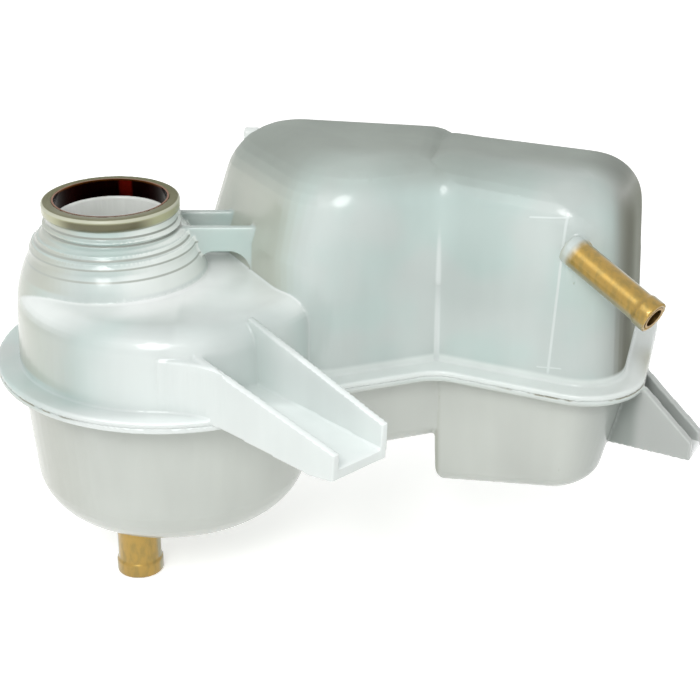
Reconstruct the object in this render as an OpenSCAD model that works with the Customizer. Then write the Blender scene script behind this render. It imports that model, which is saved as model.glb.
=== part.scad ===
// Coolant expansion tank: two plastic shells welded at a flange, with brass tubes moulded in.
// The origin is the centre of the filler mouth. +Z points up, out of the mouth.
// Shapes are drawn on the weld plane, with the neck's axis at x = y = 0, and seated() lowers them.

/* [Walls and weld] */
// Thickness of the moulded walls
wall = 2.6; // [2:0.1:3.4]
// How far the weld flange stands out from the walls
flange_w = 8; // [5:0.5:11]
// Thickness of the flange on each shell
flange_t = 2.3; // [1.6:0.1:3.5]
// Radius of the flange's outline in the bay at the groove and beside the filler chamber
bay_r = 18; // [10:1:26]
// Slope of the walls, so that the shells leave their moulds, in degrees
draft = 2; // [0.5:0.25:3]

/* [Filler neck] */
// Height of the mouth above the weld plane
mouth_h = 64.2; // [60:0.5:72]
// Outer diameter of the neck's lip and of the thread's root
neck_d = 51.7; // [48:0.1:54]
// Inner diameter of the plastic neck below the brass ring
neck_bore_d = 43; // [38:0.5:44]
// Diameter of the collar under the thread
collar_d = 66; // [60:0.5:70]
// Height of the collar's lower edge above the weld plane
collar_low = 44; // [41:0.5:46]
// Height of the collar at its rim
collar_rim = 2.2; // [1:0.1:3]
// Height of the slope on top of the collar
collar_slope = 5.8; // [1:0.2:6]
// Inner diameter of the brass ring
ring_bore_d = 44.5; // [44.2:0.1:46]
// Wall of the brass ring
ring_wall = 0.7; // [0.4:0.1:1]
// Height of the brass ring
ring_h = 7.3; // [4:0.1:12]
// Diameter of the neck's foot, low on the chamber's wall
foot_d = 78.8; // [74:0.2:80]

/* [Filler chamber] */
// Distance from the neck's axis to the chamber's axis, along the tank
chamber_x = 23.4; // [19:0.5:26]
// Distance from the neck's axis to the chamber's axis, across the tank
chamber_y = -2.5; // [-5:0.5:2]
// Diameter of the chamber at the weld plane
chamber_d = 125.4; // [120:1:134]
// Height of the chamber's roof above the weld plane
chamber_h = 33.7; // [30:0.5:38]
// Radius of the edge between the chamber's wall and its roof
shoulder_r = 11; // [6:0.5:14]
// How much further the flange stands out round the chamber
chamber_rim = 0.8; // [0:0.5:4]

/* [Round cup] */
// Distance from the neck's axis to the round cup's axis, along the tank
cup_x = 20.2; // [17:0.5:24]
// Distance from the neck's axis to the round cup's axis, across the tank
cup_y = -2.5; // [-5:0.5:2]
// Diameter of the round cup at the weld plane
cup_d = 119; // [112:1:124]
// Depth of the round cup below the weld plane
cup_depth = 64.5; // [50:0.5:75]
// Radius of the round cup's bottom edge
cup_edge_r = 20; // [12:1:26]
// Slope of the round cup's wall, in degrees
cup_draft = 4.5; // [2:0.5:7]

/* [Body] */
// Distance of the groove's foot from the neck's axis, along the tank
groove_x = 128.3; // [122:0.5:136]
// Distance of the groove's foot from the neck's axis, across the tank
groove_y = -18.8; // [-24:0.5:-12]
// Turn of the groove from straight back, in degrees
groove_turn = 7.5; // [4:0.5:14]
// Depth of the body behind the groove's foot
body_depth = 76.5; // [68:0.5:84]
// Turn of the back wall, in degrees
back_turn = -7.8; // [-11:0.2:-4]
// Width of the middle lobe's front wall
middle_w = 58.5; // [54:0.5:62]
// Turn of the middle lobe's front wall, in degrees
middle_turn = 20; // [14:0.5:26]
// Turn of the middle lobe's left wall from straight back, in degrees
left_turn = 28.3; // [24:0.5:33]
// Width of the end lobe's front wall
end_w = 75; // [66:0.5:84]
// Turn of the end lobe's front wall, in degrees
end_turn = -25.1; // [-31:0.5:-20]
// Turn of the end lobe's right wall from straight back, in degrees
right_turn = -14.8; // [-20:0.5:-8]
// How far the middle lobe reaches past the groove
middle_lap = 8.5; // [6:0.5:13]
// How far the end lobe reaches past the groove
end_lap = 17.5; // [12:0.5:20]
// Radius of the middle lobe's roof edges
middle_roof_r = 19; // [13:1:21]
// Height above the weld plane at which the middle lobe's left wall starts to lean in
left_knee = 45; // [30:1:58]
// Lean of that wall above this height, in degrees
left_lean = 13; // [6:1:18]
// Radius of the end lobe's roof edges
end_roof_r = 20; // [14:1:24]
// Radius of the body's front corners
front_corner_r = 19; // [12:1:22]
// Widening of the middle lobe's front left corner radius from the weld up to the roof
middle_corner_gain = 18; // [0:0.5:22]
// Widening of the end lobe's front right corner radius from the weld up to the roof
end_corner_gain = 10; // [0:0.5:16]
// Radius of the body's left corner at the back
left_corner_r = 28; // [22:1:34]
// Radius of the body's right corner at the back
right_corner_r = 21; // [14:1:26]
// Height of the middle lobe's roof above the weld plane, at its front
middle_h = 83; // [76:0.5:88]
// Height of the end lobe's roof above the weld plane, at its front
end_h = 84.5; // [78:0.5:90]
// Fall of the middle lobe's roof towards the back, for each mm
middle_fall_back = 0.03; // [0:0.01:0.06]
// Fall of the middle lobe's roof to the right, for each mm
middle_fall_right = 0.02; // [0:0.01:0.05]
// Fall of the end lobe's roof towards the back, for each mm
end_fall_back = 0.08; // [0:0.01:0.12]
// Fall of the end lobe's roof to the right, for each mm
end_fall_right = 0.1; // [0:0.01:0.12]
// Depth of the shallow pan under the middle lobe
pan_depth = 34; // [26:0.5:40]
// Depth of the end lobe's cup at the groove's foot
end_cup_depth = 55.5; // [44:0.5:60]
// Rise of that cup's floor to the right, for each mm
end_cup_rise = 0.18; // [0.05:0.01:0.2]
// Depth at which that cup's right wall starts to slope in
end_cup_knee = 12.5; // [6:0.5:20]
// Slope of that wall below this depth, in degrees
end_cup_lean = 9; // [5:0.5:16]
// How far the end lobe's cup reaches past the groove
end_cup_lap = 1.5; // [0:0.5:4]
// Radius of the bottom edges of the pan and of the end lobe's cup
floor_r = 8; // [5:0.5:10]
// Width of the small lug on the roof
lug_w = 6; // [4:0.5:9]
// Distance of the lug from the groove's foot, along the tank
lug_x = 78.3; // [68:0.5:84]
// Distance of the lug behind the groove's foot
lug_y = 62.8; // [54:0.5:70]
// How far the lug's top lies below the middle lobe's roof
lug_drop = 5.5; // [2:0.5:9]

/* [Neck webs] */
// Thickness of the webs
web_t = 3; // [2:0.1:4]
// Distance between the front web and the back web
web_gap = 18.4; // [12:0.2:22]
// Width of the arched opening in the front web
arch_w = 21.5; // [17:0.5:23]
// Height of the arched opening in the front web
arch_h = 8; // [5:0.5:8.5]

/* [Brackets] */
// Turn of both brackets from the tank's length, in degrees
bracket_turn = -46.5; // [-50:0.5:-42]
// Thickness of the brackets' walls
bracket_t = 2.8; // [2:0.1:3.6]
// Reach of the left bracket from the chamber's axis
left_reach = 128.6; // [112:0.2:138]
// Distance of the left bracket's near wall from the chamber's axis
left_near = 32.2; // [28:0.2:38]
// Outer width of the left bracket
left_w = 26; // [20:0.5:32]
// Height of the left bracket's near wall at the chamber
left_near_root_h = 24.3; // [19:0.1:29]
// Height of the left bracket's near wall at its tip
left_near_tip_h = 12.8; // [10:0.1:16]
// Height of the left bracket's far wall at the chamber
left_far_root_h = 32.5; // [26:0.1:33]
// Height of the left bracket's far wall at its tip
left_far_tip_h = 16.3; // [14:0.1:22]
// Height of the left bracket's floor at the chamber
left_floor_root_h = 9; // [6:0.1:13]
// Height of the left bracket's floor at its tip
left_floor_tip_h = 6.3; // [4:0.1:9]
// Radius of the blend between the chamber and the left bracket's near wall
blend_r = 35; // [25:1:40]
// Reach of the right bracket beyond the flange
right_reach = 23.5; // [18:0.5:32]
// Distance of the right bracket's near wall behind the body's front right corner
right_back = 20; // [17:0.5:26]
// Outer width of the right bracket
right_w = 17; // [13:0.5:22]
// Fall of the right bracket's top edge from the flange to its tip
right_fall = 15; // [10:0.5:18]
// How much shorter the right bracket's far wall is than its near wall
right_short = 6; // [0:0.5:10]
// How much lower the far wall's tip is than the near wall's
right_dip = 2.5; // [0:0.5:4]
// Depth of the right bracket's lower edge at the wall, below the weld plane
right_root_d = 30.5; // [27:0.5:34]
// Depth of the right bracket's lower edge at its tip, below the weld plane
right_tip_d = 23.5; // [21:0.5:27]

/* [Hose spigots] */
// Outer diameter of the lower spigot's plastic sleeve
feed_d = 17.7; // [16:0.1:20]
// Diameter of the bead at the lower spigot's end
feed_bead_d = 19.1; // [18.5:0.1:21.5]
// Length of the lower spigot below the round cup
feed_len = 24; // [18:0.5:32]
// Distance of the lower spigot from the round cup's axis, along the tank
feed_x = -13.2; // [-16:0.5:-6]
// Distance of the lower spigot from the round cup's axis, across the tank
feed_y = -24.5; // [-27:0.5:-18]
// Outer diameter of the upper spigot's plastic sleeve
vent_d = 11.7; // [10.5:0.1:13]
// Diameter of the bead at the upper spigot's end
vent_bead_d = 12.8; // [12:0.1:14.5]
// Length of the upper spigot from the end lobe's front wall
vent_len = 41.5; // [32:0.5:50]
// Distance of the upper spigot from the groove's foot, along the front wall
vent_along = 51.9; // [46:0.1:56]
// Height of the upper spigot's root above the weld plane
vent_h = 57.5; // [50:0.5:62]
// Direction of the upper spigot from the tank's length, in degrees
vent_turn = -43; // [-52:0.5:-38]
// Droop of the upper spigot below level, in degrees
vent_droop = 24; // [16:0.5:30]
// Length of the rounded end that closes the upper spigot's sleeve at its root
vent_round = 2; // [1:0.5:4]
// Distance of the upper spigot's brass tube from the sleeve's root
vent_seat = 2; // [1:0.5:6]
// Diameter of the port from the tank's inside to the upper spigot
vent_port_d = 5.2; // [3:0.2:6]
// Length of the bead at each spigot's end
bead_len = 5.5; // [3:0.1:7]
// Wall of the plastic sleeves
sleeve_wall = 1.2; // [0.9:0.05:1.6]
// Wall of the brass tubes
tube_wall = 0.9; // [0.6:0.05:1.2]

/* [Hidden] */
$fn = 96;
// Cuts reach this far past the surfaces that they open
over = 1;
// The brackets' walls start this far inside the faces that carry them
sunk = 6;
arc_steps = 11;
fillet_steps = 8;
// Corners of the lobes that lie inside the body, and the smallest corner inside the walls
hidden_corner_r = 5;
least_r = 0.8;
// The end lobe's front right corner is this much tighter than the middle lobe's front left one
corner_less = 2;
// How far the top of the collar's slope stands out from the neck
collar_lip = 1.6;
// The front web ends this far inside the left wall, the back web further in
web_inset = 12;
back_web_inset = 22;
// How far the arched opening lies nearer the neck than the middle of the front web
arch_aside = 4;
// The left bracket's walls leave the weld plane this far before the tip, and the tip stands this high
toe = 12;
toe_rise = 2;
tip_fall = 1;
// How far the left bracket's blend reaches into the walls that it joins
blend_sunk = 4;
blend_drop = 1;
// The round cup is open to the lower spigot over this height
feed_room = 12;
// Bend height given to lobes whose walls do not bend
no_knee = 0;
lean = tan(draft);
chamber_r = chamber_d / 2;
ring_r = ring_bore_d / 2 + ring_wall;
feed_tube_r = feed_d / 2 - sleeve_wall;
vent_tube_r = vent_d / 2 - sleeve_wall;
foot = [groove_x, groove_y];
// The webs end level with the collar's top, where they clear the cap
collar_top = collar_low + collar_rim + collar_slope;
plastic = [0.86, 0.9, 0.89, 0.9];
brass = [0.74, 0.58, 0.24];

// Corners of the body in plan
function way(a) = [cos(a), sin(a)];
function meet(p, a, q, b) = let (d = q - p, u = way(a), v = way(b))
    p + u * (d.x * v.y - d.y * v.x) / (u.x * v.y - u.y * v.x);
back_point = foot + [0, body_depth];
groove_way = 90 - groove_turn;
function middle_plan(lap, narrow = 0) = let (
    a = foot - way(middle_turn) * (middle_w - narrow),
    b = foot + way(middle_turn) * lap)
    [a, b, meet(b, groove_way, back_point, back_turn), meet(a, 90 + left_turn, back_point, back_turn)];
function end_plan(lap, narrow = 0) = let (
    a = foot - way(end_turn) * lap,
    b = foot + way(end_turn) * (end_w - narrow))
    [a, b, meet(b, 90 + right_turn, back_point, back_turn), meet(a, groove_way, back_point, back_turn)];
middle_corner_r = [front_corner_r, hidden_corner_r, hidden_corner_r, left_corner_r];
end_corner_r = [hidden_corner_r, front_corner_r - corner_less, right_corner_r, hidden_corner_r];

// A polygon's outline with rounded corners, drawn d inside its sides
function rounded(plan, radii, d) = [for (i = [0:len(plan) - 1]) let (
    n = len(plan),
    before = plan[(i + n - 1) % n],
    here = plan[i],
    after = plan[(i + 1) % n],
    a0 = atan2(here.y - before.y, here.x - before.x) - 90,
    turn = (atan2(after.y - here.y, after.x - here.x) - 90 - a0 + 720) % 360,
    r = max(radii[i] - d, least_r),
    middle = here - way(a0 + turn / 2) * (d + r) / cos(turn / 2))
    for (k = [0:arc_steps]) middle + way(a0 + turn * k / arc_steps) * r];

// One ring of a lobe: height z of h, on a roof that falls to the right and to the back
function ring(plan, radii, d, z, h, falls) = [for (p = rounded(plan, radii, d))
    [p.x, p.y, z * (1 - (falls.x * (p.x - foot.x) + falls.y * (p.y - foot.y)) / h)]];

// Plans of the two lobes at height z; the middle lobe's left wall leans in above its knee
middle_at = function (z) middle_plan(middle_lap, max(0, z - left_knee) * tan(left_lean));
end_at = function (z) end_plan(end_lap);
// Corner radii of the two lobes at height z; the front corners widen towards the roof
middle_radii_at = function (z) middle_corner_r + [middle_corner_gain * z / middle_h, 0, 0, 0];
end_radii_at = function (z) end_corner_r + [0, end_corner_gain * z / end_h, 0, 0];
// Plan of the end lobe's cup at depth z; its right wall slopes in below its knee
end_cup_at = function (z) end_plan(end_cup_lap, max(0, z - end_cup_knee) * tan(end_cup_lean));

// A lobe from height low up to its roof, drawn t inside its outer faces; its walls may bend at height knee
function lobe_rings(plan_at, radii_at, h, r, knee, falls, t, low) = concat(
    [for (z = knee > 0 ? [low, knee] : [low]) ring(plan_at(z), radii_at(max(0, z)), t + lean * z, z, h, falls)],
    [for (k = [0:fillet_steps]) let (a = 90 * k / fillet_steps, z = h - r + (r - t) * sin(a))
        ring(plan_at(z), radii_at(z), t + lean * (h - r) + (r - t) * (1 - cos(a)), z, h, falls)]);

// Skins a stack of rings that all have the same number of points
module skin(rings) {
    n = len(rings[0]);
    m = len(rings);
    sides = [for (k = [0:m - 2]) for (i = [0:n - 1])
        [k * n + i, (k + 1) * n + i, (k + 1) * n + (i + 1) % n, k * n + (i + 1) % n]];
    polyhedron(
        points = [for (r = rings) each r],
        faces = concat([[for (i = [0:n - 1]) i]], sides, [[for (i = [0:n - 1]) m * n - 1 - i]]),
        convexity = 4);
}

// Moves the origin from the weld plane to the filler mouth
module seated() translate([0, 0, -mouth_h]) children();
module at_chamber() translate([chamber_x, chamber_y, 0]) children();
module at_cup() translate([cup_x, cup_y, 0]) children();
module at_feed() at_cup() translate([feed_x, feed_y, -cup_depth]) rotate([180, 0, 0]) children();
// The upper spigot's root lies on the sloping face of the end lobe's front wall
module at_vent_root() {
    root = foot + way(end_turn) * vent_along + way(end_turn + 90) * lean * vent_h;
    translate([root.x, root.y, vent_h]) children();
}
module at_vent() at_vent_root() rotate([0, 90 + vent_droop, vent_turn]) children();

// Outline of the weld: the walls' outline, widened by w
module weld_outline(w) {
    offset(r = -bay_r) offset(r = bay_r + w) {
        translate([chamber_x, chamber_y]) circle(chamber_r + chamber_rim);
        polygon(rounded(middle_plan(middle_lap), middle_corner_r, 0));
        polygon(rounded(end_plan(end_lap), end_corner_r, 0));
    }
}

// Round chamber's profile from the weld plane up, drawn t inside its outer faces
module chamber_solid(t, low) {
    top = chamber_h - shoulder_r;
    r = shoulder_r - t;
    rotate_extrude() polygon(concat(
        [[0, low], [chamber_r - t - lean * low, low]],
        [for (k = [0:fillet_steps]) let (a = 90 * k / fillet_steps)
            [chamber_r - t - lean * top - r * (1 - cos(a)), top + r * sin(a)]],
        [[0, chamber_h - t]]));
}

// The neck's foot swells out in a curve from under the collar down to the chamber's wall
module neck_foot(t) {
    low = chamber_h - shoulder_r - wall;
    rise = collar_low - low;
    spread = (foot_d - collar_d) / 2;
    rotate_extrude() polygon(concat(
        [[0, low]],
        [for (k = [0:fillet_steps]) let (s = k / fillet_steps)
            [foot_d / 2 - t - spread * s ^ 2, low + rise * s]],
        [[0, collar_low]]));
}

module lobes(t, low) {
    skin(lobe_rings(middle_at, middle_radii_at, middle_h, middle_roof_r, left_knee,
        [middle_fall_right, middle_fall_back], t, low));
    skin(lobe_rings(end_at, end_radii_at, end_h, end_roof_r, no_knee,
        [end_fall_right, end_fall_back], t, low));
}

module neck_outside() {
    neck_foot(0);
    translate([0, 0, collar_low - over]) cylinder(d = neck_d, h = mouth_h - collar_low + over);
    rotate_extrude() polygon([
        [0, collar_low], [collar_d / 2, collar_low], [collar_d / 2, collar_low + collar_rim],
        [neck_d / 2 + collar_lip, collar_top], [0, collar_top]]);
}

// Arched opening: flat at its crown, round at both sides
module arch() {
    flat = arch_w - 2 * arch_h;
    for (side = [-1, 1]) translate([side * flat / 2, 0]) circle(arch_h);
    translate([-flat / 2, -arch_h]) square([flat, 2 * arch_h]);
}

// Webs that tie the neck to the body's left wall; the front one has an arched opening
module webs() {
    start = neck_d / 2 - wall;
    reach = foot.x - middle_w * cos(middle_turn) - web_inset;
    low = chamber_h - 2 * wall;
    rise = collar_top - low;
    difference() {
        translate([start, -web_t / 2, low]) cube([reach - start, web_t, rise]);
        translate([(collar_d / 2 + reach) / 2 - arch_aside, 0, chamber_h]) rotate([90, 0, 0])
            linear_extrude(web_t + 2 * over, center = true) arch();
    }
    back_start = sqrt(neck_d ^ 2 / 4 - web_gap ^ 2) - wall;
    back_reach = reach + web_inset - back_web_inset;
    translate([back_start, web_gap - web_t / 2, low]) cube([back_reach - back_start, web_t, rise]);
}

// A bracket's side wall, drawn on its length and height, t thick
module side_wall(points, t) rotate([90, 0, 0]) translate([0, 0, -t]) linear_extrude(t) polygon(points);

module at_left_bracket() at_chamber() rotate([0, 0, bracket_turn]) children();

module left_bracket() {
    near_root = sqrt(chamber_r ^ 2 - left_near ^ 2);
    far = left_near - left_w;
    far_root = sqrt(chamber_r ^ 2 - far ^ 2);
    end = left_reach - tip_fall;
    at_left_bracket() {
        translate([0, -left_near, 0])
            side_wall(left_wall(near_root, left_near_root_h, left_near_tip_h), bracket_t);
        translate([0, -far - bracket_t, 0])
            side_wall(left_wall(far_root, left_far_root_h, left_far_tip_h), bracket_t);
        translate([0, -left_near, 0]) side_wall([[near_root - sunk, left_floor_root_h - bracket_t],
            [end - bracket_t, left_floor_tip_h - bracket_t], [end - bracket_t, toe_rise], [end, toe_rise],
            [end, left_floor_tip_h], [near_root - sunk, left_floor_root_h]], left_w);
        blend(near_root);
    }
}

// Outline of a side wall whose top edge falls straight from the chamber's wall to the tip
function left_wall(root, root_h, tip_h) = let (fall = (root_h - tip_h) / (left_reach - root))
    [[root - sunk, 0], [left_reach - toe, 0], [left_reach - tip_fall, toe_rise], [left_reach, tip_h],
        [root - sunk, root_h + fall * sunk]];

// Hollow blend from the chamber's wall to the left bracket's near wall
module blend(near_root) {
    side = left_near + blend_r;
    along = sqrt((chamber_r + blend_r) ^ 2 - side ^ 2);
    touch = chamber_r / (chamber_r + blend_r);
    linear_extrude(left_near_root_h - blend_drop) difference() {
        polygon([[along * touch, -side * touch], [along, -left_near],
            [near_root - blend_sunk, blend_sunk - left_near],
            [along * touch - blend_sunk / 2, blend_sunk - side * touch]]);
        translate([along, -side]) circle(blend_r);
    }
}

module vent_sleeve() at_vent() {
    cylinder(d = vent_d, h = vent_len);
    translate([0, 0, vent_len - bead_len]) cylinder(d = vent_bead_d, h = bead_len);
    rotate_extrude() polygon(concat([[0, over]],
        [for (k = [0:fillet_steps]) let (a = 90 * k / fillet_steps)
            [vent_d / 2 * sin(a), -vent_round * cos(a)]],
        [[vent_d / 2, over]]));
}

// Room inside the sleeve for the brass tube, and the port from there into the tank
module vent_way() {
    port_back = vent_round / 4;
    at_vent() translate([0, 0, vent_seat]) cylinder(r = vent_tube_r, h = vent_len);
    at_vent() translate([0, 0, -port_back])
        cylinder(r = vent_tube_r - tube_wall, h = port_back + vent_seat + over);
    at_vent_root() rotate([-90, 0, end_turn]) cylinder(d = vent_port_d, h = 2 * wall);
}

module lug() translate([foot.x - lug_x, foot.y + lug_y, middle_h - lug_drop - 2 * lug_w])
    cube([lug_w, lug_w, 2 * lug_w]);

module upper_shell() color(plastic) seated() difference() {
    union() {
        at_chamber() chamber_solid(0, 0);
        lobes(0, 0);
        neck_outside();
        webs();
        left_bracket();
        vent_sleeve();
        lug();
        linear_extrude(flange_t) weld_outline(flange_w);
    }
    at_chamber() chamber_solid(wall, -over);
    lobes(wall, -over);
    neck_foot(wall);
    translate([0, 0, chamber_h - shoulder_r]) cylinder(d = neck_bore_d, h = mouth_h);
    translate([0, 0, mouth_h - ring_h]) cylinder(r = ring_r, h = ring_h + over);
    vent_way();
}

// A pan or cup that hangs from the weld plane: a lobe turned over, drawn t inside its outer faces
module pan(plan_at, radii, h, knee, rise, t) {
    rings = lobe_rings(plan_at, function (z) radii, h, floor_r, knee, [rise, 0], t, t == 0 ? 0 : -over);
    skin([for (k = [len(rings) - 1:-1:0]) [for (p = rings[k]) [p.x, p.y, -p.z]]]);
}

module cup_solid(t, low) {
    top = cup_depth - cup_edge_r;
    r = cup_edge_r - t;
    slope = tan(cup_draft);
    rotate([180, 0, 0]) rotate_extrude() polygon(concat(
        [[0, low], [cup_d / 2 - t - slope * low, low]],
        [for (k = [0:fillet_steps]) let (a = 90 * k / fillet_steps)
            [cup_d / 2 - t - slope * top - r * (1 - cos(a)), top + r * sin(a)]],
        [[0, cup_depth - t]]));
}

module pans(t) {
    pan(function (z) middle_plan(middle_lap), middle_corner_r, pan_depth, no_knee, 0, t);
    pan(end_cup_at, end_corner_r, end_cup_depth, end_cup_knee, end_cup_rise, t);
}

// The right bracket stands on the end lobe's right wall, under the flange
module right_bracket() {
    corner = foot + way(end_turn) * end_w;
    root = corner + way(90 + right_turn) * right_back;
    // Angle between the bracket and the wall's normal, and how far the far wall's root lies back for it
    slant = right_turn - bracket_turn;
    skew = right_w * tan(slant);
    edge = flange_w / cos(slant);
    tip = edge + right_reach;
    // The walls start this far back, because the cup's wall slopes away under them
    back = sunk + max(0, right_root_d - end_cup_knee) * tan(end_cup_lean) / cos(slant);
    translate([root.x, root.y, 0]) rotate([0, 0, bracket_turn]) intersection() {
        union() {
            side_wall(right_wall(back, edge, tip, right_fall), bracket_t);
            translate([0, right_w - bracket_t, 0])
                side_wall(right_wall(back + skew, edge - skew, tip - right_short, right_fall + right_dip),
                    bracket_t);
            side_wall([[-skew - back, bracket_t - right_root_d], [tip, bracket_t - right_tip_d],
                [tip, -right_tip_d], [-skew - back, -right_root_d]], right_w);
        }
        translate([0, 0, -right_root_d - over]) linear_extrude(right_root_d + over)
            polygon([[-skew - back, -over], [tip + over * right_short / right_w, -over],
                [tip - right_short * (1 + over / right_w), right_w + over], [-skew - back, right_w + over]]);
    }
}

// Outline of a side wall that hangs from the flange up to its edge and falls from there to the tip
function right_wall(back, edge, tip, fall) = let (top = -flange_t / 2)
    [[-back, top], [edge, top], [tip, top - fall], [tip, -right_tip_d], [-back, -right_root_d]];

module feed_sleeve() at_feed() {
    translate([0, 0, -sunk]) cylinder(d = feed_d, h = feed_len + sunk);
    translate([0, 0, feed_len - bead_len]) cylinder(d = feed_bead_d, h = bead_len);
}

module lower_shell() color(plastic) seated() difference() {
    union() {
        at_cup() cup_solid(0, 0);
        pans(0);
        right_bracket();
        feed_sleeve();
        translate([0, 0, -flange_t]) linear_extrude(flange_t) weld_outline(flange_w);
    }
    at_cup() cup_solid(wall, -over);
    pans(wall);
    at_feed() translate([0, 0, -feed_room]) cylinder(r = feed_tube_r, h = feed_len + feed_room + over);
}

// A plain round tube from z = low to z = high
module tube(r, t, low, high) translate([0, 0, low]) difference() {
    cylinder(r = r, h = high - low);
    translate([0, 0, -over]) cylinder(r = r - t, h = high - low + 2 * over);
}

module neck_liner() color(brass) seated() tube(ring_r, ring_wall, mouth_h - ring_h, mouth_h);
module vent_spigot_tube() color(brass) seated() at_vent() tube(vent_tube_r, tube_wall, vent_seat, vent_len);
module feed_spigot_tube() color(brass) seated() at_feed() tube(feed_tube_r, tube_wall, -wall, feed_len);

upper_shell();
lower_shell();
neck_liner();
vent_spigot_tube();
feed_spigot_tube();
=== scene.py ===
import math

import bpy
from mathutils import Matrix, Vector


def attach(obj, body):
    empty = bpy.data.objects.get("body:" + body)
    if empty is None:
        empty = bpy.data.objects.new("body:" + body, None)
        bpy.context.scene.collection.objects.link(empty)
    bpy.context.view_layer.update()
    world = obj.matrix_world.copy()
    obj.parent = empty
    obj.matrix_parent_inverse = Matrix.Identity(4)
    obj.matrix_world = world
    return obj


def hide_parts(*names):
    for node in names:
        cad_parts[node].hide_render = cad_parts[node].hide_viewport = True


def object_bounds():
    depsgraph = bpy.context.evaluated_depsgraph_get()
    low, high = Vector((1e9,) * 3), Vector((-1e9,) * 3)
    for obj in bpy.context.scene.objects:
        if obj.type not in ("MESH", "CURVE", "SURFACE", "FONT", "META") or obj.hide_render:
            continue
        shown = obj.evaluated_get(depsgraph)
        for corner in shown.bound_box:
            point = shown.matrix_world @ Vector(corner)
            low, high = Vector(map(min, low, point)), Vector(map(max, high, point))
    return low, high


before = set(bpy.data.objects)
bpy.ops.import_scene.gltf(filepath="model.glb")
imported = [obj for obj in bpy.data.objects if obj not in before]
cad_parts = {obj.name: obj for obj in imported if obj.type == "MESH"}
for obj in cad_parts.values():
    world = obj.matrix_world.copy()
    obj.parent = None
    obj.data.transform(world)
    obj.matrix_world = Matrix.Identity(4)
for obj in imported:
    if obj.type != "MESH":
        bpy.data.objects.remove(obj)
cad_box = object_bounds()

# The room: a pale floor, a white background behind it, two soft lamps and the photograph's camera.
# The tank hangs by its brackets on the vehicle, so the floor lies just under its lowest point, a spigot.
FLOOR_GAP = 0.0002
FLOOR_Z = cad_box[0][2] - FLOOR_GAP
bpy.ops.object.select_all(action="DESELECT")


def linear(hex_colour):
    """An sRGB hex colour as linear red, green, blue and alpha."""
    parts = [int(hex_colour[i:i + 2], 16) / 255 for i in (1, 3, 5)]
    return [c / 12.92 if c <= 0.04045 else ((c + 0.055) / 1.055) ** 2.4 for c in parts] + [1.0]


def add_node(tree, kind, settings=None, values=None, links=None):
    """Adds a node; values go onto its inputs, and links name the output that feeds each input."""
    node = tree.nodes.new(kind)
    for name, value in (settings or {}).items():
        setattr(node, name, value)
    for name, value in (values or {}).items():
        node.inputs[name].default_value = value
    for name, output in (links or {}).items():
        tree.links.new(output, node.inputs[name])
    return node


def new_material(name):
    """An empty node material, its tree and its output node."""
    material = bpy.data.materials.new(name)
    material.use_nodes = True
    tree = material.node_tree
    tree.nodes.clear()
    return material, tree, tree.nodes.new("ShaderNodeOutputMaterial")


def seen_directly(tree):
    """1 for a ray from the camera, or one that is mirrored or passes through on its way."""
    path = add_node(tree, "ShaderNodeLightPath")
    first = add_node(tree, "ShaderNodeMath", {"operation": "MAXIMUM"},
                     links={0: path.outputs["Is Camera Ray"], 1: path.outputs["Is Glossy Ray"]})
    return add_node(tree, "ShaderNodeMath", {"operation": "MAXIMUM"},
                    links={0: first.outputs[0], 1: path.outputs["Is Transmission Ray"]})


# White paper sweep: it shows as plain white, and keeps the tank's soft shadow
bpy.ops.mesh.primitive_plane_add(size=8, location=(0.1, 0, FLOOR_Z))
floor = bpy.context.active_object
floor.name = "floor"
paper, tree, out = new_material("paper_sweep")
matt = add_node(tree, "ShaderNodeBsdfDiffuse", values={"Color": linear("#F4F4F2")})
glow = add_node(tree, "ShaderNodeEmission")
PAPER_GLOW = 0.5
shown = add_node(tree, "ShaderNodeMath", {"operation": "MULTIPLY"}, {1: PAPER_GLOW},
                 {0: seen_directly(tree).outputs[0]})
tree.links.new(shown.outputs[0], glow.inputs["Strength"])
both = add_node(tree, "ShaderNodeAddShader", links={0: matt.outputs[0], 1: glow.outputs[0]})
tree.links.new(both.outputs[0], out.inputs["Surface"])
floor.data.materials.append(paper)

# World: white to the eye, and a weaker cool grey as a lamp
world = bpy.data.worlds.new("studio")
bpy.context.scene.world = world
world.use_nodes = True
tree = world.node_tree
tree.nodes.clear()
out = tree.nodes.new("ShaderNodeOutputWorld")
fill = add_node(tree, "ShaderNodeBackground", values={"Color": linear("#F4F5F5"), "Strength": 0.78})
white = add_node(tree, "ShaderNodeBackground", values={"Color": (1, 1, 1, 1), "Strength": 1.0})
mix = add_node(tree, "ShaderNodeMixShader",
               links={0: seen_directly(tree).outputs[0], 1: fill.outputs[0], 2: white.outputs[0]})
tree.links.new(mix.outputs[0], out.inputs["Surface"])

# Lamps: a softbox above the camera, which makes the glints, and a larger, weaker one on the left.
# Each has its place, its width in metres and its watts, and points at the tank's middle.
TANK_MIDDLE = Vector((0.094, 0, -0.07))
for name, place, size, watts in (("key_softbox", (-0.12, -0.85, 0.62), 0.42, 4.2),
                                 ("fill_softbox", (-0.5, -0.9, 0.9), 0.8, 1.2)):
    lamp = bpy.data.lights.new(name, "AREA")
    lamp.shape = "DISK"
    lamp.size = size
    lamp.energy = watts
    holder = bpy.data.objects.new(name, lamp)
    holder.location = place
    holder.rotation_euler = (TANK_MIDDLE - Vector(place)).to_track_quat("-Z", "Y").to_euler()
    bpy.context.scene.collection.objects.link(holder)

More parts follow.
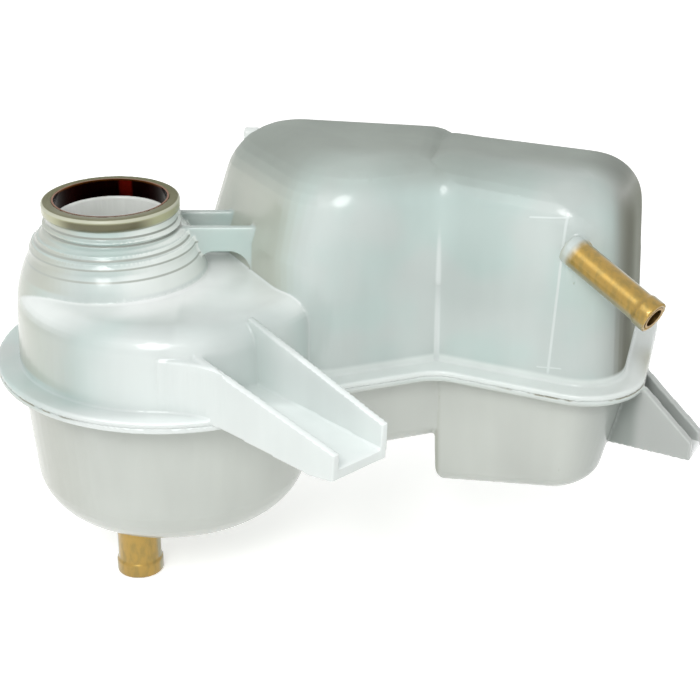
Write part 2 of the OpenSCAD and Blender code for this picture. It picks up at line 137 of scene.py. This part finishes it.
# Camera: 24.7 degrees down, level, aimed along the tank's middle, as solved from the round mouth and collar
CAMERA_DOWN = 24.7
camera_data = bpy.data.cameras.new("camera")
camera_data.lens = 82.29
camera_data.sensor_width = 36
camera = bpy.data.objects.new("camera", camera_data)
camera.location = (0.094, -0.595, 0.2076)
camera.rotation_euler = (math.radians(90 - CAMERA_DOWN), 0, 0)
bpy.context.scene.collection.objects.link(camera)
bpy.context.scene.camera = camera
bpy.context.scene.view_settings.view_transform = "Standard"

# Upper shell: the injection-moulded top half with the filler chamber, two lobes, neck and left bracket.
# It is natural polypropylene, milky and a little shiny, with the soft edges that a mould leaves.
# Metres: the neck's plain wall, the lip and the thread's crest, and the lip's height
NECK_R = 0.02585
CREST_R = 0.0272
LIP_H = 0.0052
THREAD_PITCH = 0.0032
THREAD_TURNS = 2.3
# Depth to which the lip and the thread are sunk in the neck, so that the remesh joins them to it
SUNK = 0.0012
# Size of the remesh's cells
VOXEL = 0.0006
# The upper spigot's root on the end lobe's wall, and its direction
VENT_ROOT = (0.17615, -0.0390, -0.0067)
VENT_WAY = (0.6681, -0.6230, -0.4067)
# Inside this distance of the spigot's axis its bead keeps its edges
VENT_CLEAR = 0.0115


def only(piece):
    """Makes piece the one selected and active object."""
    bpy.ops.object.select_all(action="DESELECT")
    piece.select_set(True)
    bpy.context.view_layer.objects.active = piece


def edit(piece):
    """Opens piece in edit mode, with all of it selected."""
    only(piece)
    bpy.ops.object.mode_set(mode="EDIT")
    bpy.ops.mesh.select_all(action="SELECT")


def apply_modifier(piece, kind, **settings):
    """Adds a modifier with these settings and applies it."""
    modifier = piece.modifiers.new(kind.lower(), kind)
    for name, value in settings.items():
        setattr(modifier, name, value)
    only(piece)
    bpy.ops.object.modifier_apply(modifier=modifier.name)


def casting_of(node, name):
    """A free copy of a CAD node with its doubles merged, to be worked into a moulded surface."""
    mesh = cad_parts[node].data.copy()
    piece = bpy.data.objects.new(name, mesh)
    bpy.context.scene.collection.objects.link(piece)
    edit(piece)
    bpy.ops.mesh.remove_doubles(threshold=0.000002)
    bpy.ops.object.mode_set(mode="OBJECT")
    return piece


def spun(name, corners, turns, pitch):
    """A profile of radius and height pairs, spun round the neck's axis and sunk by pitch at each turn."""
    bpy.ops.mesh.primitive_circle_add(vertices=len(corners), radius=0.001)
    ring = bpy.context.active_object
    ring.name = name
    for vertex, (radius, height) in zip(ring.data.vertices, corners):
        vertex.co = (radius, 0, height)
    steps = round(96 * turns)
    apply_modifier(ring, "SCREW", angle=2 * math.pi * turns, screw_offset=-pitch * turns, steps=steps,
                   render_steps=steps, use_merge_vertices=pitch == 0)
    edit(ring)
    if pitch:
        bpy.ops.mesh.select_all(action="DESELECT")
        bpy.ops.mesh.select_non_manifold()
        bpy.ops.mesh.edge_face_add()
        bpy.ops.mesh.select_all(action="SELECT")
    bpy.ops.mesh.normals_make_consistent(inside=False)
    bpy.ops.object.mode_set(mode="OBJECT")
    return ring


def mould(piece, extras, triangles, rounder=None):
    """Joins extras into piece, remeshes them as one skin, softens its edges and thins its faces.

    Where rounder is true of a vertex's place, the skin is softened more, as where a mould's corners are wide.
    """
    bpy.ops.object.select_all(action="DESELECT")
    for extra in extras:
        extra.select_set(True)
    piece.select_set(True)
    bpy.context.view_layer.objects.active = piece
    if extras:
        bpy.ops.object.join()
    apply_modifier(piece, "REMESH", mode="VOXEL", voxel_size=VOXEL, adaptivity=0, use_smooth_shade=True)
    apply_modifier(piece, "SMOOTH", factor=0.5, iterations=1)
    if rounder:
        corners = piece.vertex_groups.new(name="rounder")
        corners.add([v.index for v in piece.data.vertices if rounder(v.co)], 1.0, "REPLACE")
        apply_modifier(piece, "SMOOTH", factor=0.8, iterations=200, vertex_group="rounder")
        piece.vertex_groups.clear()
    count = 2 * len(piece.data.polygons)
    if count > triangles:
        apply_modifier(piece, "DECIMATE", decimate_type="COLLAPSE", ratio=triangles / count)
    bpy.ops.object.shade_smooth()


# The lip is a plain band with a chamfer above and below
sunk_r = NECK_R - SUNK
lip = spun("lip", [(sunk_r, -0.0003), (CREST_R - 0.0006, -0.0003), (CREST_R, -0.001),
                   (CREST_R, 0.0007 - LIP_H), (NECK_R, -LIP_H), (sunk_r, -LIP_H)], 1, 0)
# The thread is a ridge 1.6 mm wide at its root and 0.4 mm at its crest, which starts 1.9 mm under the lip
thread_z = -LIP_H - 0.0019
ridge_r = CREST_R + 0.0002
thread = spun("thread", [(sunk_r, thread_z + 0.0008), (NECK_R, thread_z + 0.0008),
                         (ridge_r, thread_z + 0.0002), (ridge_r, thread_z - 0.0002),
                         (NECK_R, thread_z - 0.0008), (sunk_r, thread_z - 0.0008)],
              THREAD_TURNS, THREAD_PITCH)
# Two shallow rings run round the collar's slope below the thread
slope_rings = [spun("slope_ring", [(r - 0.0014, h + 0.0002), (r + 0.0006, h + 0.0006),
                                   (r + 0.0006, h - 0.0006), (r - 0.0014, h - 0.0010)], 1, 0)
               for r, h in ((0.02935, -0.0142), (0.03150, -0.0165))]


def wide_corner(place):
    """True on the lobes' upper half, where the mould's corners are wide, but not round the spigot."""
    off_spigot = (place - Vector(VENT_ROOT)).cross(Vector(VENT_WAY)).length > VENT_CLEAR
    return place.x > 0.082 and -0.030 < place.z < 0.014 and place.y < 0.045 and off_spigot


UPPER_TRIANGLES = 190000
upper = casting_of("upper_shell", "upper_moulding")
mould(upper, [lip, thread] + slope_rings, UPPER_TRIANGLES, wide_corner)

# Natural polypropylene, injection moulded: milky with a satin skin, and warmer below the weld where coolant
# stands.
# Many tones here are painted light and shade, standing for the light that real walls let through by their
# thickness and angle: steep walls, left faces, roofs, creases and the right end are painted greyer or darker,
# and the chamber's roof, the flange and the channels are painted lighter. The tubes show through their
# sleeves, so the sleeves are toned as brass.

# The painted sheen on the upper spigot's flanks faces this way and its opposite
VENT_FLANK = (0.686, 0.304, 0.661)
FEED_ROOT = (0.0070, -0.0270, -0.1287)
# The end lobe's front wall runs along the first and faces the second
END_WALL = (0.9056, -0.4242, 0.0)
END_WALL_OUT = (-0.4242, -0.9056, 0.0)
# Across the right bracket's channel, the distance of its middle from the origin, and half its width
CHANNEL_SIDE = (0.724, 0.690, 0.0)
CHANNEL_MIDDLE = 0.1326
CHANNEL_HALF = 0.0042
GROOVE_FOOT = (0.1283, -0.0188, 0.0)
polypropylene, tree, out = new_material("moulded_polypropylene")
place = add_node(tree, "ShaderNodeTexCoord")
spot = place.outputs["Object"]
axes = add_node(tree, "ShaderNodeSeparateXYZ", links={0: spot})
x, y, z = axes.outputs
facing = add_node(tree, "ShaderNodeSeparateXYZ", links={0: place.outputs["Normal"]})


def within(value, low, high, soft):
    """1 where value lies between low and high, falling to 0 over the distance soft outside them."""
    rise = add_node(tree, "ShaderNodeMapRange", {"interpolation_type": "SMOOTHSTEP"},
                    {"From Min": low - soft, "From Max": low}, {"Value": value})
    fall = add_node(tree, "ShaderNodeMapRange", {"interpolation_type": "SMOOTHSTEP"},
                    {"From Min": high, "From Max": high + soft, "To Min": 1.0, "To Max": 0.0},
                    {"Value": value})
    return add_node(tree, "ShaderNodeMath", {"operation": "MULTIPLY"},
                    links={0: rise.outputs[0], 1: fall.outputs[0]}).outputs[0]


def overlap(*zones):
    """The product of several zones."""
    result = zones[0]
    for zone in zones[1:]:
        both_zones = add_node(tree, "ShaderNodeMath", {"operation": "MULTIPLY"}, links={0: result, 1: zone})
        result = both_zones.outputs[0]
    return result


def from_axis(root, way):
    """Distance from the axis through root along way, and distance along it."""
    offset = add_node(tree, "ShaderNodeVectorMath", {"operation": "SUBTRACT"}, {1: root}, {0: spot})
    side = add_node(tree, "ShaderNodeVectorMath", {"operation": "CROSS_PRODUCT"}, {1: way},
                    {0: offset.outputs[0]})
    off = add_node(tree, "ShaderNodeVectorMath", {"operation": "LENGTH"}, links={0: side.outputs[0]})
    along = add_node(tree, "ShaderNodeVectorMath", {"operation": "DOT_PRODUCT"}, {1: way},
                     {0: offset.outputs[0]})
    return off.outputs["Value"], along.outputs["Value"]


def speck(point, radius):
    """1 at a point, fading to 0 at this radius."""
    away = add_node(tree, "ShaderNodeVectorMath", {"operation": "DISTANCE"}, {1: point}, {0: spot})
    return within(away.outputs["Value"], -1, radius * 0.4, radius * 0.6)


def noise(scale, detail, stretch=(1, 1, 1)):
    """Noise at this many cells a metre, drawn out along an axis whose stretch is small."""
    turned = add_node(tree, "ShaderNodeMapping", values={"Scale": stretch}, links={"Vector": spot})
    cells = add_node(tree, "ShaderNodeTexNoise",
                     values={"Scale": scale, "Detail": detail, "Roughness": 0.55},
                     links={"Vector": turned.outputs[0]})
    return cells.outputs["Fac"]


streaks = noise(34, 3, (1, 1, 0.22))
clouds = noise(16, 2)
vent_off, vent_along = from_axis(VENT_ROOT, VENT_WAY)
feed_off, feed_along = from_axis(FEED_ROOT, (0, 0, -1))
neck_off, neck_up = from_axis((0, 0, 0), (0, 0, 1))
wall_along = add_node(tree, "ShaderNodeVectorMath", {"operation": "DOT_PRODUCT"}, {1: END_WALL}, {0: spot})
wall_facing = add_node(tree, "ShaderNodeVectorMath", {"operation": "DOT_PRODUCT"}, {1: END_WALL_OUT},
                       {0: place.outputs["Normal"]})
end_wall = overlap(within(wall_facing.outputs["Value"], 0.86, 2, 0.10), within(x, 0.150, 0.200, 0.001),
                   within(y, -0.05, 0, 0.001))
# Three faint lines are moulded on the end wall: an upright one and a level one at each of its ends.
# The upright one leans right by 4.9 mm in 100 mm of height, and the level ones rise by 10.5 mm in 100 mm.
upright = add_node(tree, "ShaderNodeMath", {"operation": "MULTIPLY_ADD"}, {1: -0.0485}, {0: z})
tree.links.new(wall_along.outputs["Value"], upright.inputs[2])
level = add_node(tree, "ShaderNodeMath", {"operation": "MULTIPLY_ADD"}, {1: -0.105},
                 {0: wall_along.outputs["Value"]})
tree.links.new(z, level.inputs[2])
marks = add_node(tree, "ShaderNodeMath", {"operation": "MAXIMUM"}, links={
    0: overlap(end_wall, within(upright.outputs[0], 0.17294, 0.17334, 0.0006),
               within(z, -0.0570, 0.0250, 0.003)),
    1: add_node(tree, "ShaderNodeMath", {"operation": "MAXIMUM"}, links={
        0: overlap(end_wall, within(level.outputs[0], -0.01392, -0.01372, 0.0004),
                   within(wall_along.outputs["Value"], 0.1593, 0.1739, 0.0006)),
        1: overlap(end_wall, within(level.outputs[0], -0.07402, -0.07382, 0.0004),
                   within(wall_along.outputs["Value"], 0.1659, 0.1752, 0.0006))}).outputs[0]}).outputs[0]
core = add_node(tree, "ShaderNodeMath", {"operation": "MAXIMUM"}, links={
    0: overlap(within(vent_off, -1, 0.0066, 0.0002), within(vent_along, 0.0055, 1, 0.004)),
    1: overlap(within(feed_off, -1, 0.0100, 0.0003), within(feed_along, 0.0012, 1, 0.001))}).outputs[0]
# How far the sleeves look like metal, seen through the plastic
shown_brass = add_node(tree, "ShaderNodeMath", {"operation": "MULTIPLY"}, {1: 0.8}, {0: core})
# The thread's root, half a turn away from its crest all the way down the neck
sweep = add_node(tree, "ShaderNodeMath", {"operation": "ARCTAN2"}, links={0: y, 1: x})
depth = add_node(tree, "ShaderNodeMath", {"operation": "MULTIPLY_ADD"},
                 {1: 1 / THREAD_PITCH, 2: -thread_z / THREAD_PITCH}, {0: z})
turned = add_node(tree, "ShaderNodeMath", {"operation": "MULTIPLY_ADD"}, {1: 0.5 / math.pi},
                  {0: sweep.outputs[0], 2: depth.outputs[0]})
turn = add_node(tree, "ShaderNodeMath", {"operation": "FRACT"}, links={0: turned.outputs[0]}).outputs[0]
groove_off, groove_up = from_axis(GROOVE_FOOT, (0, 0, 1))
facing_x, facing_z = facing.outputs["X"], facing.outputs["Z"]
upper_half = within(z, -0.0585, 1, 0.002)
channel_across = add_node(tree, "ShaderNodeVectorMath", {"operation": "DOT_PRODUCT"}, {1: CHANNEL_SIDE},
                          {0: spot})
in_channel = within(channel_across.outputs["Value"], CHANNEL_MIDDLE - CHANNEL_HALF,
                    CHANNEL_MIDDLE + CHANNEL_HALF, 0.0004)
slope = overlap(within(neck_off, 0.0255, 0.0362, 0.0005), within(z, -0.0400, -0.0058, 0.001))
# Painted sheen: a milky flank painted on both sides of each spigot
flank_facing = add_node(tree, "ShaderNodeVectorMath", {"operation": "DOT_PRODUCT"}, {1: VENT_FLANK},
                        {0: place.outputs["Normal"]})
facing_either = [add_node(tree, "ShaderNodeMath", {"operation": "ABSOLUTE"}, links={0: side}).outputs[0]
                 for side in (flank_facing.outputs["Value"], facing_x)]
painted_flank_sheen = add_node(tree, "ShaderNodeMath", {"operation": "ADD"}, links={
    0: overlap(within(facing_either[0], 0.92, 2, 0.16), within(x, 0.1, 1, 0.01)),
    1: overlap(within(facing_either[1], 0.95, 2, 0.12), within(x, -1, 0.1, 0.01))}).outputs[0]
# Dirt lies in the weld round the chamber's left and the end lobe's right
ends = add_node(tree, "ShaderNodeMath", {"operation": "ADD"}, links={
    0: within(x, -1, -0.016, 0.012), 1: within(x, 0.160, 1, 0.012)}).outputs[0]
# Painted shade on the lobes' roofs, darker towards the back; the same zone also dulls them
roofs = overlap(within(facing_z, 0.85, 2, 0.65), within(z, -0.002, 1, 0.016), within(y, 0.010, 1, 0.060))
# Painted shade on the right end's right-facing wall; the same zone also dulls it
right_wall_shade = overlap(within(facing_x, 0.97, 2, 0.45), within(x, 0.19, 1, 0.01), upper_half)
# The roofs and the right end are scuffed dull, and the rest keeps the mould's polish
unpolished = add_node(tree, "ShaderNodeMath", {"operation": "MAXIMUM"}, links={0: right_wall_shade, 1: roofs})
dull = add_node(tree, "ShaderNodeMapRange", values={"To Min": 0.38, "To Max": 0.8},
                links={"Value": unpolished.outputs[0]})
coat = add_node(tree, "ShaderNodeMapRange", values={"To Min": 0.75, "To Max": 0.0},
                links={"Value": unpolished.outputs[0]})
# Each tone is laid over those before it where its zone is 1. Zones are in metres and in parts of a normal.
colour = linear("#C0C9C6")
zones = [
    # Cool clouds in the melt, and painted shade on the left faces above the weld, warmer and darker
    ("#BACAC6", within(noise(22, 2), 0.60, 2, 0.20)),
    ("#B3B7AA", overlap(within(facing_x, -2, -1.0, 0.62), upper_half)),
    # Painted light lifting the shade on the filler chamber's roof and round the foot of its collar, and the
    # left bracket's root, lighter
    ("#E6ECE9", overlap(within(facing_z, 0.75, 2, 0.45), within(z, -0.046, -0.026, 0.008),
                        within(neck_off, 0.034, 0.080, 0.012), within(y, -0.040, 1, 0.020))),
    ("#F4F8F6", overlap(within(y, -0.045, 0.030, 0.015), within(facing_z, 0.60, 2, 0.45),
                        within(neck_off, 0.030, 0.040, 0.014), within(x, 0.014, 0.1, 0.014),
                        within(z, -0.044, -0.020, 0.004))),
    ("#CAD3D0", overlap(within(x, 0.031, 0.10, 0.003), within(y, -1, -0.045, 0.015),
                        within(z, -0.060, -0.034, 0.010))),
    # Painted shade: the lobes' roofs, darker towards the back, and the right end, with its right-facing wall
    # darker still and darkest at the front
    ("#949B94", roofs),
    ("#7D827B", overlap(within(x, 0.2050, 1, 0.020), upper_half)),
    ("#84877B", right_wall_shade),
    ("#5E6052", overlap(within(y, -1, -0.022, 0.026), right_wall_shade)),
    # Painted light inside the filler neck, under its ring
    ("#F1F4EF", overlap(within(neck_off, -1, 0.0222, 0.0003), within(z, -1, -0.0075, 0.0005),
                        within(facing_z, -0.15, 2, 0.1))),
    # Painted light on the weld flange's front, and its right end, darker
    ("#DEE5E2", overlap(within(z, -0.0640, -0.0600, 0.002), within(x, 0.072, 1, 0.020),
                        within(y, -1, 0.02, 0.02))),
    ("#B2B39F", overlap(within(x, 0.2150, 1, 0.010), within(z, -0.0640, -0.0600, 0.002),
                        within(y, -1, -0.02, 0.02))),
    # Below the weld; painted shade on its left faces; and its right end, darker
    ("#C5C9C3", within(z, -1, -0.067, 0.003)),
    ("#B0B3A8", overlap(within(facing_x, -2, -0.95, 0.60), within(z, -1, -0.067, 0.003))),
    ("#9CA29E", overlap(within(x, 0.200, 1, 0.024), within(z, -1, -0.067, 0.002))),
    # Painted light on the left bracket and more on its channel's up-facing floor, and the right bracket,
    # darker
    ("#DCE2E0", overlap(within(y, -1, -0.068, 0.016), within(x, -1, 0.14, 0.01),
                        within(z, -0.067, 1, 0.002))),
    ("#EEF5F3", overlap(within(y, -1, -0.072, 0.006), within(x, -1, 0.14, 0.01),
                        within(facing_z, 0.35, 2, 0.1), within(z, -0.067, 1, 0.002))),
    ("#B4B8B5", overlap(within(x, 0.208, 1, 0.004), within(z, -1, -0.0665, 0.001))),
    # A painted highlight down the groove between the lobes
    ("#D5DCDA", overlap(within(groove_off, -1, 0.0007, 0.0008), within(groove_up, -0.0600, 0.030, 0.010))),
    # The collar's slope: painted light on its right faces and painted shade on its left faces, and painted
    # shade in the thread's root and the steps between the rings
    ("#E4EAE6", overlap(slope, within(facing_x, 0.60, 2, 0.50))),
    ("#B5B9AF", overlap(slope, within(facing_x, -2, -0.65, 0.45))),
    ("#989D96", overlap(within(turn, 0.42, 0.58, 0.10), within(neck_off, 0.0250, 0.0277, 0.0002),
                        within(neck_up, -0.0120, -0.0055, 0.0006))),
    ("#A4A9A2", overlap(within(neck_up, -0.01545, -0.01515, 0.0004),
                        within(neck_off, 0.0250, 0.0308, 0.0002))),
    ("#A4A9A2", overlap(within(neck_up, -0.01835, -0.01805, 0.0004),
                        within(neck_off, 0.0250, 0.0339, 0.0002))),
    ("#ACB1AA", overlap(within(neck_up, -0.02275, -0.02245, 0.0004),
                        within(neck_off, 0.0250, 0.0348, 0.0002))),
    # The lip, stained by coolant: its band, its top and its front; and a painted highlight on its outer edge
    ("#AEAE8B", overlap(within(neck_off, -1, 0.0285, 0.0005), within(neck_up, -0.0050, 1, 0.0006))),
    ("#6A694C", overlap(within(neck_off, 0.0220, 0.0285, 0.0005), within(facing_z, 0.7, 2, 0.2),
                        within(neck_up, -0.0015, 1, 0.0006))),
    ("#54502A", overlap(within(neck_off, 0.0255, 0.0285, 0.0005), within(neck_up, -0.0048, -0.0022, 0.0012),
                        within(y, -1, -0.016, 0.008), within(x, -0.011, 0.012, 0.010))),
    ("#B9BAA6", overlap(within(neck_off, 0.0266, 0.0285, 0.0003), within(neck_up, -0.0012, 1, 0.0004))),
    # Brass under the sleeves, drawn in fine streaks, and the painted sheen of the sleeves' milky flanks
    ("#AD8C40", core),
    ("#9A813F", overlap(core, within(noise(420, 4, (1, 1, 0.4)), 0.66, 2, 0.26))),
    ("#978E69", overlap(core, painted_flank_sheen)),
    # Dirt in the weld, and three specks
    ("#9A9B8D", overlap(within(z, -0.0645, -0.0641, 0.0003), within(noise(70, 3), 0.50, 2, 0.10), ends)),
    ("#6A5238", speck((0.1925, -0.0470, -0.0640), 0.0016)),
    ("#7F8780", speck((0.1010, -0.0345, -0.0440), 0.0012)),
    ("#7F8780", speck((0.1130, -0.0330, -0.0530), 0.0010)),
    # The lug behind the middle lobe, painted light lifting the shade in the right bracket's channel, and the
    # moulded lines
    ("#E4E9E6", overlap(within(x, 0.0495, 0.0565, 0.0004), within(y, 0.0435, 0.0505, 0.0004),
                        within(z, 0, 1, 0.001))),
    ("#F0F3F2", overlap(in_channel, within(x, 0.209, 1, 0.002), within(z, -1, -0.0668, 0.0005))),
    ("#D2DAD8", marks),
]
for shade, zone in zones:
    mixed = add_node(tree, "ShaderNodeMixRGB", values={"Color2": linear(shade)}, links={"Fac": zone})
    if isinstance(colour, list):
        mixed.inputs["Color1"].default_value = colour
    else:
        tree.links.new(colour, mixed.inputs["Color1"])
    colour = mixed.outputs[0]
# Flow of the melt: long faint streaks up the walls and broad clouds, each a few percent lighter or darker
for pattern, span in ((streaks, 0.07), (clouds, 0.08)):
    level_of = add_node(tree, "ShaderNodeMapRange",
                        values={"From Min": 0.25, "From Max": 0.75, "To Min": 1 - span, "To Max": 1 + span},
                        links={"Value": pattern})
    colour = add_node(tree, "ShaderNodeVectorMath", {"operation": "SCALE"},
                      links={0: colour, "Scale": level_of.outputs[0]}).outputs[0]
# The skin: a fine grain and slow waves of the wall, with the moulded lines a little proud
skin = add_node(tree, "ShaderNodeMath", {"operation": "MULTIPLY_ADD"}, {1: 0.06}, {0: noise(700, 2)})
proud = add_node(tree, "ShaderNodeMath", {"operation": "MULTIPLY_ADD"}, {1: 0.25},
                 {0: marks, 2: noise(45, 1)})
tree.links.new(proud.outputs[0], skin.inputs[2])
bump = add_node(tree, "ShaderNodeBump", values={"Strength": 0.5, "Distance": 0.0006},
                links={"Height": skin.outputs[0]})
plastic = add_node(tree, "ShaderNodeBsdfPrincipled",
                   values={"IOR": 1.49, "Subsurface Weight": 0.45,
                           "Subsurface Radius": (1.0, 1.0, 1.0), "Subsurface Scale": 0.004,
                           "Coat Roughness": 0.14},
                   links={"Base Color": colour, "Metallic": shown_brass.outputs[0],
                          "Roughness": dull.outputs[0], "Coat Weight": coat.outputs[0],
                          "Normal": bump.outputs[0]})
tree.links.new(plastic.outputs[0], out.inputs["Surface"])

# Where it is moulded over the brass tubes the polypropylene is thin, with a milky bloom at its edges
sleeve = polypropylene.copy()
sleeve.name = "clear_polypropylene_sleeve"
for node in sleeve.node_tree.nodes:
    if node.type == "BSDF_PRINCIPLED":
        node.inputs["Subsurface Weight"].default_value = 0.0
        node.inputs["Sheen Weight"].default_value = 0.15
        node.inputs["Sheen Roughness"].default_value = 0.3
        node.inputs["Sheen Tint"].default_value = linear("#D8DCC6")


# No sleeve or bead reaches further from its tube's axis
SLEEVE_REACH = 0.0102


def finish_plastic(piece, root, way, start):
    """Gives piece the milky plastic, and the clear one round the tube from root along way, past start."""
    piece.data.materials.clear()
    piece.data.materials.append(polypropylene)
    piece.data.materials.append(sleeve)
    for face in piece.data.polygons:
        offset = face.center - Vector(root)
        along = offset.dot(Vector(way))
        if along > start and (offset - along * Vector(way)).length < SLEEVE_REACH:
            face.material_index = 1


finish_plastic(upper, VENT_ROOT, VENT_WAY, 0.0030)
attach(upper, "root")
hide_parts("upper_shell")

# Lower shell: the injection-moulded bottom half with the round cup, the pan, the end lobe's cup,
# the right bracket and the lower spigot. It is welded to the upper shell at the flange.
LOWER_TRIANGLES = 170000
lower = casting_of("lower_shell", "lower_moulding")
mould(lower, [], LOWER_TRIANGLES)
finish_plastic(lower, FEED_ROOT, (0, 0, -1), 0.0005)
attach(lower, "root")
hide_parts("lower_shell")

# Brass inserts: drawn tubes in both spigots and a turned ring in the filler mouth, moulded in.
# The spigots' tubes are bare brass, mottled with darker stains.
brass, tree, out = new_material("drawn_brass")
place = add_node(tree, "ShaderNodeTexCoord")
stain = add_node(tree, "ShaderNodeTexNoise", values={"Scale": 160, "Detail": 3},
                 links={"Vector": place.outputs["Object"]})
tone = add_node(tree, "ShaderNodeMixRGB", values={"Color1": linear("#B8975A"), "Color2": linear("#7A5C30")},
                links={"Fac": stain.outputs["Fac"]})
metal = add_node(tree, "ShaderNodeBsdfPrincipled", values={"Metallic": 1.0, "Roughness": 0.35},
                 links={"Base Color": tone.outputs[0]})
tree.links.new(metal.outputs[0], out.inputs["Surface"])
for node in ("vent_spigot_tube", "feed_spigot_tube"):
    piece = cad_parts[node]
    piece.data.materials.clear()
    piece.data.materials.append(brass)

# The mouth's ring: brass that hot coolant has stained almost black, with a dark red cast and a bare edge.
# It is turned; a dark red upright band down its far inside is a painted reflection.
stained, tree, out = new_material("coolant_stained_brass")
place = add_node(tree, "ShaderNodeTexCoord")
height = add_node(tree, "ShaderNodeSeparateXYZ", links={0: place.outputs["Object"]})
edge = add_node(tree, "ShaderNodeMapRange", values={"From Min": -0.0009, "From Max": -0.0002},
                links={"Value": height.outputs[2]})
tone = add_node(tree, "ShaderNodeMixRGB", values={"Color1": linear("#1C0403"), "Color2": linear("#7A4618")},
                links={"Fac": edge.outputs[0]})
# Painted reflection: an upright dark red band down the ring's far inside
painted_red_reflection = overlap(within(height.outputs[0], 0.0012, 0.0048, 0.0014), within(height.outputs[1], 0, 1, 0.001),
               within(height.outputs[2], -1, -0.0008, 0.0003))
tone = add_node(tree, "ShaderNodeMixRGB", values={"Color2": linear("#8A1A0E")},
                links={"Fac": painted_red_reflection, "Color1": tone.outputs[0]})
metal = add_node(tree, "ShaderNodeBsdfPrincipled", values={"Metallic": 1.0, "Roughness": 0.16},
                 links={"Base Color": tone.outputs[0]})
tree.links.new(metal.outputs[0], out.inputs["Surface"])
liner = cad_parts["neck_liner"]
liner.data.materials.clear()
liner.data.materials.append(stained)
